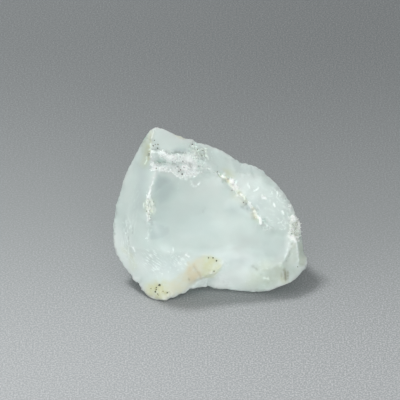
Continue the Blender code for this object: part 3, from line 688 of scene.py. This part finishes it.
def grown_at(mm, places, hidden, front):
    """Height of the fine lines on the left growth face and of the ribs on the hidden prism faces."""
    left_face = ramp(-places[:, 0], *LEFT_FACE_EDGE) * front
    growth_lines = GROWTH_HEIGHT * prism_lines_at(mm, GROWTH_WIDTH, GROWTH_SQUEEZE)
    ribs = RIB_HEIGHT * prism_lines_at(mm, RIB_WIDTH, RIB_SQUEEZE, seed=2.0)
    threads = THREAD_HEIGHT * prism_lines_at(mm, THREAD_WIDTH, RIB_SQUEEZE, seed=7.0)
    return left_face * growth_lines + hidden * (ribs + threads)


def rippled_at(mm, places, front):
    """Height of the shell-shaped ripples, rings about a point on the ledge that run across the hollow."""
    ring = np.hypot(places[:, 0] - RIPPLE_MIDDLE[0], places[:, 1] - RIPPLE_MIDDLE[1])
    hollow = ramp(places[:, 0], *HOLLOW_EDGE) * ramp(ring, *RIPPLES_FROM) * front
    wander = RIPPLE_WANDER * noise_at(mm, RIPPLE_WANDER_SIZE, seed=9.0)
    return RIPPLE_HEIGHT * hollow * np.sin(ring * RIPPLE_RATE + wander)


def stone_mesh():
    """The rounded solid, refined where its marks are, with its relief and the marks its finish reads."""
    mesh, crisp = rounded_solid()
    for kinds, wanted_share in REFINEMENTS:
        refine(mesh, crisp, kinds, wanted_share)
    points, normals = points_and_normals(mesh)
    marks, places, front = marks_at(points, normals)
    mm = points / MM
    worn = worn_at(mm, crisp)
    streaks = prism_lines_at(mm, STREAK_WIDTH, GROWTH_SQUEEZE, seed=3.0)
    hackles = strokes_at(places, HACKLE_LEAN, HACKLE_WIDTH, HACKLE_LENGTH)

    relief, marks["tone"] = crushed_at(mm, marks["sugar"], marks["white"])
    relief += UNEVEN_HEIGHT * noise_at(mm, UNEVEN_SIZE)
    relief += grown_at(mm, places, marks["hidden"], front)
    relief += rippled_at(mm, places, front)
    relief += STREAK_HEIGHT * marks["streaked"] * streaks
    relief += HACKLE_HEIGHT * marks["feathered"] * hackles
    relief += chipped_at(mm, worn, CHIP_SIZE, CHIP_HEIGHT, CHIP_SUNK, seed=12.0)
    relief += chipped_at(mm, marks["chipped"], NICK_SIZE, NICK_HEIGHT, NICK_SUNK, seed=50.0)
    relief += FROST_HEIGHT * marks["white"] + SWELLING * marks["swollen"] - GAP_DEPTH * marks["gap"]
    above_floor = ramp(mm[:, 2], *LEVEL_FOOT)
    moved = points + normals * (relief * above_floor * MM)[:, None]
    moved += TO_VIEWER * (POCKET_FILLING * MM * marks["filled"])[:, None]
    moved = np.clip(moved, stone_low, stone_high)
    mesh.vertices.foreach_set("co", moved.ravel())

    patchy = patches_at(mm, 0.45, cover=0.62, contrast=0.8, seed=33.0)
    on_sugar = 1.0 - 0.3 * marks["sugar"]
    # Frosting, and on the foot's lip and in the fold above it painted light.
    marks["frost_and_painted_light"] = np.max([
        FROSTED["worn"] * worn,
        FROSTED["feathered"] * marks["feathered"] * smooth(2.5 * hackles),
        FROSTED["streaked"] * marks["streaked"] * smooth(3.0 * streaks),
        FROSTED["white"] * marks["white"] * (BETWEEN_PATCHES + (1.0 - BETWEEN_PATCHES) * patchy) * on_sugar,
    ], axis=0)
    for name in FINISH_MARKS:
        layer = mesh.attributes.new(name, "FLOAT", "POINT")
        layer.data.foreach_set("value", marks[name].astype(np.float32))
    mesh.update()
    mesh.shade_smooth()
    mesh.set_sharp_from_angle(angle=SHARP_ANGLE)
    return mesh


stone = in_scene("stone", stone_mesh())

BERYL_IOR = 1.577
MILK_THIN, MILK_THICK = (0.775, 0.855, 0.825), (0.855, 0.925, 0.89)
# The clearer zones' darker blue, on the hollow's left side painted shade.
CLEAR_BLUE_AND_SHADE = (0.67, 0.755, 0.765)
CRUMB_GREY, SUGAR_WHITE = (0.56, 0.625, 0.60), (0.91, 0.985, 0.94)
# The painted shade of the cracks and pockets.
PAINTED_GAP_SHADE = (0.25, 0.28, 0.25)
ABSORBING_BLUE, ABSORPTION = (0.80, 0.94, 0.92), 50.0
STONE_SCATTER, GRAIN_SCATTER = 1.5 * MM, 0.3 * MM


class Finish:
    """A Principled material and the few kinds of node that this stone's finishes are mixed from."""

    def __init__(self, name):
        self.material = bpy.data.materials.new(name)
        self.material.use_nodes = True
        self.nodes = self.material.node_tree.nodes
        self.links = self.material.node_tree.links
        self.surface = self.nodes["Principled BSDF"]
        self.output = self.nodes["Material Output"]
        self.place = self.nodes.new("ShaderNodeTexCoord").outputs["Object"]

    def mark(self, name):
        """A mark's strength, stored on the mesh."""
        node = self.nodes.new("ShaderNodeAttribute")
        node.attribute_name = name
        return node.outputs["Fac"]

    def cloud(self, scale, detail=4.0):
        """Soft noise through the piece, from 0 to 1, with that many bumps to the metre."""
        node = self.nodes.new("ShaderNodeTexNoise")
        node.inputs["Scale"].default_value = scale
        node.inputs["Detail"].default_value = detail
        self.links.new(self.place, node.inputs["Vector"])
        return node.outputs["Fac"]

    def spread(self, value, low, high, to_low=0.0, to_high=1.0):
        """The value, eased from to_low where it is low to to_high where it is high."""
        node = self.nodes.new("ShaderNodeMapRange")
        node.interpolation_type = "SMOOTHSTEP"
        limits = {"From Min": low, "From Max": high, "To Min": to_low, "To Max": to_high}
        for label, limit in limits.items():
            node.inputs[label].default_value = limit
        self.links.new(value, node.inputs["Value"])
        return node.outputs["Result"]

    def times(self, a, b):
        """The product of two values, each a socket or a number."""
        node = self.nodes.new("ShaderNodeMath")
        node.operation = "MULTIPLY"
        for socket, value in zip(node.inputs, (a, b)):
            if isinstance(value, float):
                socket.default_value = value
            else:
                self.links.new(value, socket)
        return node.outputs["Value"]

    def tinted(self, over, colour, amount):
        """The colour laid over another by that amount. Either colour is a socket or three numbers."""
        node = self.nodes.new("ShaderNodeMix")
        node.data_type = "RGBA"
        self.links.new(amount, node.inputs["Factor"])
        for socket, value in zip(node.inputs[6:8], (over, colour)):
            if isinstance(value, tuple):
                socket.default_value = (*value, 1.0)
            else:
                self.links.new(value, socket)
        return node.outputs[2]

    def bumped(self, height, strength, distance):
        """Fine bumps, too small for the mesh, of that distance high."""
        node = self.nodes.new("ShaderNodeBump")
        node.inputs["Distance"].default_value = distance
        self.links.new(strength, node.inputs["Strength"])
        self.links.new(height, node.inputs["Height"])
        self.links.new(node.outputs["Normal"], self.surface.inputs["Normal"])

    def scattering(self, reach):
        """Milk that scatters light for about that far inside the beryl, which bends light by BERYL_IOR."""
        self.surface.inputs["IOR"].default_value = BERYL_IOR
        self.surface.inputs["Subsurface Weight"].default_value = 1.0
        self.surface.inputs["Subsurface Radius"].default_value = (0.95, 1.0, 1.0)
        self.surface.inputs["Subsurface Scale"].default_value = reach

    def absorbing(self, colour, density):
        """Plain absorption inside the stone."""
        node = self.nodes.new("ShaderNodeVolumeAbsorption")
        node.inputs["Color"].default_value = (*colour, 1.0)
        node.inputs["Density"].default_value = density
        self.links.new(node.outputs["Volume"], self.output.inputs["Volume"])


def milky_beryl():
    """Milky beryl with clearer zones, stains, frosting and speckles, white where it is crushed, and painted
    shade and painted light.
    """
    finish = Finish("milky beryl")
    sugar = finish.mark("sugar")
    clear = finish.mark("clear")
    frost_and_painted_light = finish.mark("frost_and_painted_light")
    milk = finish.spread(finish.cloud(160.0), 0.35, 0.65)
    colour = finish.tinted(MILK_THIN, MILK_THICK, milk)
    # Clearer zones turn darker and bluer, on the hollow's left side as painted shade.
    colour = finish.tinted(colour, CLEAR_BLUE_AND_SHADE, clear)
    crumbs = finish.tinted(CRUMB_GREY, SUGAR_WHITE, finish.spread(finish.mark("tone"), -0.7, 0.6))
    colour = finish.tinted(colour, crumbs, finish.times(sugar, 0.6))
    mottled = finish.spread(finish.cloud(950.0), 0.3, 0.62, 0.5, 1.1)
    # Stains, the olive on the belly partly painted shade.
    for name, stain in STAINS.items():
        colour = finish.tinted(colour, stain, finish.times(finish.mark(name), mottled))
    speckles = finish.times(finish.spread(finish.cloud(2100.0, 2.0), 0.52, 0.72), finish.mark("speckled"))
    speckles = finish.times(finish.spread(finish.cloud(430.0, 2.0), 0.42, 0.6), speckles)
    # Whitening by frosted marks, which on the foot's lip and in the fold above it is painted light.
    colour = finish.tinted(colour, SUGAR_WHITE, frost_and_painted_light)
    colour = finish.tinted(colour, SUGAR_WHITE, speckles)
    # Painted shade darkens the cracks and pockets.
    colour = finish.tinted(colour, PAINTED_GAP_SHADE, finish.mark("gap"))
    finish.links.new(colour, finish.surface.inputs["Base Color"])
    finish.links.new(finish.spread(sugar, 0.0, 1.0, 0.25, 0.14), finish.surface.inputs["Roughness"])

    frosted_over = finish.spread(frost_and_painted_light, 0.0, 1.0, 1.0, 0.3)
    seen_into = finish.times(finish.spread(sugar, 0.0, 1.0, 1.0, 0.45), frosted_over)
    seen_into = finish.times(finish.spread(finish.mark("milky"), 0.0, 1.0, 1.0, 0.58), seen_into)
    seen_into = finish.times(finish.spread(speckles, 0.0, 1.0, 1.0, 0.4), seen_into)
    seen_into = finish.times(finish.spread(clear, 0.0, 1.0, 0.5, 0.72), seen_into)
    finish.links.new(seen_into, finish.surface.inputs["Transmission Weight"])
    finish.scattering(STONE_SCATTER)
    grainy = finish.spread(sugar, 0.0, 1.0, 0.10, 0.8)
    finish.bumped(finish.cloud(3000.0, 3.0), grainy, 0.08 * MM)
    finish.absorbing(ABSORBING_BLUE, ABSORPTION)
    return finish.material


stone.data.materials.clear()
stone.data.materials.append(milky_beryl())
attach(stone, "root")
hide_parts("aquamarine")

# The grains of the crushed beryl: splinters a tenth to a third of a millimetre across, still fast in the
# stone, that crust the ledge, the ridges and the right end. Geometry Nodes strew them on the sugar.
GRAIN_SPACING = 0.17 * MM
GRAIN_SMALLEST, GRAIN_LARGEST = 0.10 * MM, 0.34 * MM
GRAIN_SIDES = 5
GRAINS_AT_MOST = 40.0 / MM ** 2
SPLINTER_TIP, SPLINTER_FOOT, SPLINTER_LENGTH = 0.24, 0.5, 0.7
SPLINTER_THINNEST, SPLINTER_THICKEST = (0.35, 0.35, 0.5), (1.0, 1.0, 1.2)
WHOLE_TURN = 6.28


class Tree:
    """A Geometry Nodes tree with named inputs, and the few links and nodes that this stone's trees need."""

    def __init__(self, name, sizes):
        self.group = bpy.data.node_groups.new(name, "GeometryNodeTree")
        self.group.interface.new_socket("Stone", in_out="INPUT", socket_type="NodeSocketGeometry")
        self.inputs = {}
        for label, kind in sizes.items():
            self.inputs[label] = self.group.interface.new_socket(label, in_out="INPUT", socket_type=kind)
        self.group.interface.new_socket("Grains", in_out="OUTPUT", socket_type="NodeSocketGeometry")
        self.entry = self.node("NodeGroupInput")
        self.exit = self.node("NodeGroupOutput")

    def node(self, kind, **settings):
        node = self.group.nodes.new(kind)
        for setting, value in settings.items():
            setattr(node, setting, value)
        return node

    def link(self, output, socket):
        self.group.links.new(output, socket)

    def random(self, kind, low, high, seed):
        """A random value for each point, between two sockets or two constants."""
        node = self.node("FunctionNodeRandomValue", data_type=kind)
        ends = {"FLOAT": node.inputs[2:4], "FLOAT_VECTOR": node.inputs[0:2]}[kind]
        for socket, value in zip(ends, (low, high)):
            if isinstance(value, bpy.types.NodeSocket):
                self.link(value, socket)
            else:
                socket.default_value = value
        node.inputs["Seed"].default_value = seed
        return node.outputs[{"FLOAT": 1, "FLOAT_VECTOR": 0}[kind]]

    def mark(self, name):
        """A mark's strength, stored on the stone's mesh."""
        node = self.node("GeometryNodeInputNamedAttribute", data_type="FLOAT")
        node.inputs["Name"].default_value = name
        return node.outputs[0]


def grain_tree():
    """Strews splinters where the stone is sugary, each with a tone half the stone's and half its own."""
    tree = Tree("strewn grains", {"Spacing": "NodeSocketFloat", "Smallest": "NodeSocketFloat",
                                  "Largest": "NodeSocketFloat", "Sides": "NodeSocketInt",
                                  "Finish": "NodeSocketMaterial"})
    given = tree.entry.outputs
    strewn = tree.node("GeometryNodeDistributePointsOnFaces", distribute_method="POISSON")
    strewn.inputs["Density Max"].default_value = GRAINS_AT_MOST
    strewn.inputs["Seed"].default_value = 3
    tree.link(given["Stone"], strewn.inputs["Mesh"])
    tree.link(given["Spacing"], strewn.inputs["Distance Min"])
    tree.link(tree.mark("sugar"), strewn.inputs["Density Factor"])
    splinter = tree.node("GeometryNodeMeshCone")
    splinter.inputs["Radius Top"].default_value = SPLINTER_TIP
    splinter.inputs["Radius Bottom"].default_value = SPLINTER_FOOT
    splinter.inputs["Depth"].default_value = SPLINTER_LENGTH
    tree.link(given["Sides"], splinter.inputs["Vertices"])
    scaled = tree.node("ShaderNodeVectorMath", operation="SCALE")
    tree.link(tree.random("FLOAT_VECTOR", SPLINTER_THINNEST, SPLINTER_THICKEST, 12), scaled.inputs[0])
    tree.link(tree.random("FLOAT", given["Smallest"], given["Largest"], 11), scaled.inputs["Scale"])
    turned = tree.random("FLOAT_VECTOR", (0.0, 0.0, 0.0), (WHOLE_TURN, WHOLE_TURN, WHOLE_TURN), 13)
    placed = tree.node("GeometryNodeInstanceOnPoints")
    tree.link(strewn.outputs["Points"], placed.inputs["Points"])
    tree.link(splinter.outputs["Mesh"], placed.inputs["Instance"])
    tree.link(turned, placed.inputs["Rotation"])
    tree.link(scaled.outputs["Vector"], placed.inputs["Scale"])
    shared_tone = tree.node("ShaderNodeMath", operation="MULTIPLY_ADD")
    shared_tone.inputs[1].default_value = 0.55
    tree.link(tree.mark("tone"), shared_tone.inputs[0])
    tree.link(tree.random("FLOAT", 0.15, 0.85, 14), shared_tone.inputs[2])
    toned = tree.node("GeometryNodeStoreNamedAttribute", data_type="FLOAT", domain="INSTANCE")
    toned.inputs["Name"].default_value = "tone"
    tree.link(placed.outputs["Instances"], toned.inputs["Geometry"])
    tree.link(shared_tone.outputs["Value"], toned.inputs["Value"])
    real = tree.node("GeometryNodeRealizeInstances")
    tree.link(toned.outputs["Geometry"], real.inputs["Geometry"])
    finished = tree.node("GeometryNodeSetMaterial")
    tree.link(real.outputs["Geometry"], finished.inputs["Geometry"])
    tree.link(given["Finish"], finished.inputs["Material"])
    tree.link(finished.outputs["Geometry"], tree.exit.inputs["Grains"])
    return tree


GRAIN_GREY, GRAIN_PALE, GRAIN_WHITE = (0.60, 0.66, 0.62), (0.76, 0.84, 0.81), (0.945, 1.0, 0.965)


def crushed_beryl():
    """White splinters, duller in the crumbs' hollows by painted shade, some clear enough to see into."""
    finish = Finish("crushed beryl")
    tone = finish.mark("tone")
    dull_and_shaded = finish.tinted(GRAIN_GREY, GRAIN_PALE, finish.spread(tone, -0.25, 0.1))
    colour = finish.tinted(dull_and_shaded, GRAIN_WHITE, finish.spread(tone, 0.3, 0.9))
    finish.links.new(colour, finish.surface.inputs["Base Color"])
    seen_into = finish.spread(tone, 0.1, 0.9, 0.5, 0.05)
    finish.links.new(seen_into, finish.surface.inputs["Transmission Weight"])
    finish.surface.inputs["Roughness"].default_value = 0.12
    finish.scattering(GRAIN_SCATTER)
    return finish.material


def grown_on_stone(tree, sizes):
    """The plain mesh that a tree makes on the stone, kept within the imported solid's box."""
    holder = in_scene("holder", stone.data.copy())
    modifier = holder.modifiers.new("tree", "NODES")
    modifier.node_group = tree.group
    for label, value in sizes.items():
        modifier[tree.inputs[label].identifier] = value
    mesh = evaluated_mesh(holder)
    bpy.data.objects.remove(holder)
    points, _ = points_and_normals(mesh)
    kept = np.clip(points, stone_low, stone_high)
    mesh.vertices.foreach_set("co", kept.ravel())
    mesh.update()
    return mesh


grain_mesh = grown_on_stone(grain_tree(), {"Spacing": GRAIN_SPACING, "Smallest": GRAIN_SMALLEST,
                                           "Largest": GRAIN_LARGEST, "Sides": GRAIN_SIDES,
                                           "Finish": crushed_beryl()})
grains = in_scene("sugar_grains", grain_mesh)
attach(grains, "root")

# Dark specks of mica and iron oxide, flat nuggets caught in the stains, the ledge and the ridges. Each is
# set into the stone where the front view meets it. SPECKS has their places as seen from the front
# (across, up) and their radii, all in millimetres.
SPECKS = [
    (-7.23, 2.46, 0.2), (-7.66, 2.08, 0.13), (-7.69, 1.78, 0.13), (-7.82, 1.47, 0.17), (-7.50, 1.15, 0.11),
    (-7.37, 1.00, 0.09), (-6.13, 1.33, 0.13), (-6.73, 1.55, 0.09), (-8.45, 1.92, 0.09), (-0.21, 6.36, 0.12),
    (0.43, 6.36, 0.13), (0.93, 5.94, 0.14), (0.57, 4.44, 0.11), (-7.93, 23.13, 0.11), (-7.42, 22.54, 0.13),
    (-8.11, 22.34, 0.12), (-7.48, 22.01, 0.11), (-7.80, 22.54, 0.09), (-3.98, 18.29, 0.16),
    (-4.44, 18.69, 0.12), (-4.65, 19.33, 0.1), (-4.20, 18.90, 0.11), (-3.72, 19.26, 0.09),
    (-2.53, 22.57, 0.13), (-1.00, 21.71, 0.12), (-1.79, 21.84, 0.12), (-1.15, 20.96, 0.12),
    (-1.93, 20.62, 0.1), (-1.15, 20.41, 0.1), (-7.65, 19.13, 0.12), (-3.87, 20.15, 0.09),
    (1.05, 18.62, 0.12), (2.58, 17.61, 0.11), (3.15, 15.97, 0.09), (4.80, 14.25, 0.11), (5.16, 14.03, 0.09),
    (11.79, 9.74, 0.11), (12.92, 9.16, 0.12), (12.60, 5.01, 0.11), (11.96, 10.45, 0.1), (-8.99, 13.03, 0.1),
    (-8.66, 12.60, 0.09), (-8.45, 12.17, 0.09), (-8.68, 21.41, 0.12), (10.74, 3.87, 0.09),
    (11.17, 3.72, 0.1),
]
SPECK_FLATNESS, SPECK_UNEVENNESS = 0.6, 0.5
SPECK_DARK, SPECK_PALE = (0.05, 0.05, 0.035), (0.16, 0.16, 0.11)
FAR_OFF = 100.0 * MM


def on_sight_line(across, up):
    """A point that the front view shows at (across, up) millimetres, level with the stone's front."""
    flat = Vector((across, up * math.sin(VIEW_TILT), up * math.cos(VIEW_TILT))) * MM
    return flat + Vector((0.0, stone_low.y, 0.0))


def speck_mesh():
    """Flattened, uneven nuggets, each lying in the stone's surface."""
    stone_bm = bmesh.new()
    stone_bm.from_mesh(stone.data)
    surface = bvhtree.BVHTree.FromBMesh(stone_bm)
    stone_bm.free()
    sight = -Vector(TO_VIEWER)
    bm = bmesh.new()
    for across, up, radius in SPECKS:
        place, normal, _, _ = surface.ray_cast(on_sight_line(across, up) - sight * FAR_OFF, sight)
        nugget = bmesh.ops.create_icosphere(bm, subdivisions=1, radius=radius * MM)["verts"]
        turn = normal.to_track_quat("Z", "Y")
        for vertex in nugget:
            bump = noise.noise(vertex.co / MM * 9.0 + Vector((across, up, 0.0)))
            flat = vertex.co * (1.0 + SPECK_UNEVENNESS * bump)
            flat.z *= SPECK_FLATNESS
            vertex.co = place + turn @ flat
    mesh = bpy.data.meshes.new("dark_specks")
    bm.to_mesh(mesh)
    bm.free()
    return mesh


def dark_grain():
    """Dark olive grey, uneven."""
    finish = Finish("dark grain")
    shade = finish.spread(finish.cloud(900.0, 1.0), 0.35, 0.65)
    colour = finish.tinted(SPECK_DARK, SPECK_PALE, shade)
    finish.links.new(colour, finish.surface.inputs["Base Color"])
    finish.surface.inputs["Roughness"].default_value = 0.45
    return finish.material


specks = in_scene("dark_specks", speck_mesh())
specks.data.materials.append(dark_grain())
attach(specks, "root")

# The floor is a plain matt sheet, far wider than the picture, with painted shade towards the back and
# to the right. The light is that of a small studio, white cloth all round with three soft lamps, and
# the camera looks down on the stone by VIEW_TILT.
FLOOR_REACH = 1.2
FLOOR_NEAR_LIT, FLOOR_FAR_SHADED, FLOOR_GRAIN = (0.302, 0.320, 0.322), (0.122, 0.133, 0.135), (0.5, 0.5, 0.52)
FLOOR_SHADE_TO_RIGHT = 0.13

floor_mesh = bpy.data.meshes.new("floor")
floor_corners = [(x * FLOOR_REACH, y * FLOOR_REACH, 0.0) for x, y in ((-1, -1), (1, -1), (1, 1), (-1, 1))]
floor_mesh.from_pydata(floor_corners, [], [(0, 1, 2, 3)])
floor = in_scene("floor", floor_mesh)


def matt_floor():
    """Pale grey, with painted shade darker towards the back and a little to the right, and a fine grain in
    front.
    """
    finish = Finish("matt floor")
    split = finish.nodes.new("ShaderNodeSeparateXYZ")
    finish.links.new(finish.place, split.inputs["Vector"])
    x, y = split.outputs["X"], split.outputs["Y"]
    # Painted shade: the light's falloff towards the back and to the right.
    colour = finish.tinted(FLOOR_NEAR_LIT, FLOOR_FAR_SHADED, finish.spread(y, -0.045, 0.080))
    shade_to_right = finish.spread(x, -0.035, 0.03, 0.0, FLOOR_SHADE_TO_RIGHT)
    colour = finish.tinted(colour, (0.0, 0.0, 0.0), shade_to_right)
    in_front = finish.spread(y, -0.035, 0.02, 1.0, 0.25)
    grain = finish.times(finish.spread(finish.cloud(4200.0, 2.0), 0.4, 0.7, 0.0, 0.75), in_front)
    colour = finish.tinted(colour, FLOOR_GRAIN, grain)
    finish.links.new(colour, finish.surface.inputs["Base Color"])
    finish.surface.inputs["Roughness"].default_value = 0.8
    return finish.material


floor.data.materials.append(matt_floor())

LAMP_AIM = Vector((0.0, 0.0, 10.0 * MM))


def soft_lamp(name, place, size, power, glints):
    """A round soft lamp that points at the stone. One without glints isn't mirrored in what it lights."""
    data = bpy.data.lights.new(name, "AREA")
    data.shape = "DISK"
    data.size = size
    data.energy = power
    lamp = in_scene(name, data)
    lamp.location = place
    lamp.visible_glossy = glints
    lamp.rotation_euler = (LAMP_AIM - Vector(place)).to_track_quat("-Z", "Y").to_euler()


soft_lamp("overhead lamp", place=(-0.15, 0.12, 0.36), size=0.10, power=1.15, glints=True)
soft_lamp("front lamp", place=(0.02, -0.50, 0.02), size=0.50, power=3.4, glints=False)
soft_lamp("left lamp", place=(-0.45, -0.25, 0.15), size=0.40, power=0.45, glints=False)

# The tent's colour, and along each axis from where to where its strength goes from what to what.
TENT_WHITE = (0.98, 1.0, 1.0, 1.0)
TENT_SHADES = (("Z", -0.1, 1.0, 0.48, 0.62), ("Y", -1.0, 1.0, 1.1, 0.9))


def light_tent():
    """White cloth all round the stone, brighter overhead and to the front."""
    world = bpy.data.worlds.new("light tent")
    world.use_nodes = True
    nodes = world.node_tree.nodes
    links = world.node_tree.links
    background = nodes["Background"]
    background.inputs["Color"].default_value = TENT_WHITE
    split = nodes.new("ShaderNodeSeparateXYZ")
    links.new(nodes.new("ShaderNodeTexCoord").outputs["Generated"], split.inputs["Vector"])
    both = nodes.new("ShaderNodeMath")
    both.operation = "MULTIPLY"
    for strength, (axis, *limits) in zip(both.inputs, TENT_SHADES):
        shade = nodes.new("ShaderNodeMapRange")
        for label, limit in zip(("From Min", "From Max", "To Min", "To Max"), limits):
            shade.inputs[label].default_value = limit
        links.new(split.outputs[axis], shade.inputs["Value"])
        links.new(shade.outputs["Result"], strength)
    links.new(both.outputs["Value"], background.inputs["Strength"])
    return world


bpy.context.scene.world = light_tent()

FRAME_WIDTH = 57.28
FRAME_MIDDLE = (-1.43, 14.61)
CAMERA_DISTANCE = 500.0
SENSOR_WIDTH = 36.0
camera_data = bpy.data.cameras.new("camera")
camera_data.sensor_width = SENSOR_WIDTH
camera_data.lens = SENSOR_WIDTH * CAMERA_DISTANCE / FRAME_WIDTH
camera_data.clip_start = 0.01
camera_data.clip_end = 10.0
camera = in_scene("camera", camera_data)
camera.location = on_sight_line(*FRAME_MIDDLE) + Vector(TO_VIEWER) * CAMERA_DISTANCE * MM
camera.rotation_euler = (-Vector(TO_VIEWER)).to_track_quat("-Z", "Y").to_euler()
bpy.context.scene.camera = camera
bpy.context.scene.view_settings.view_transform = "Standard"
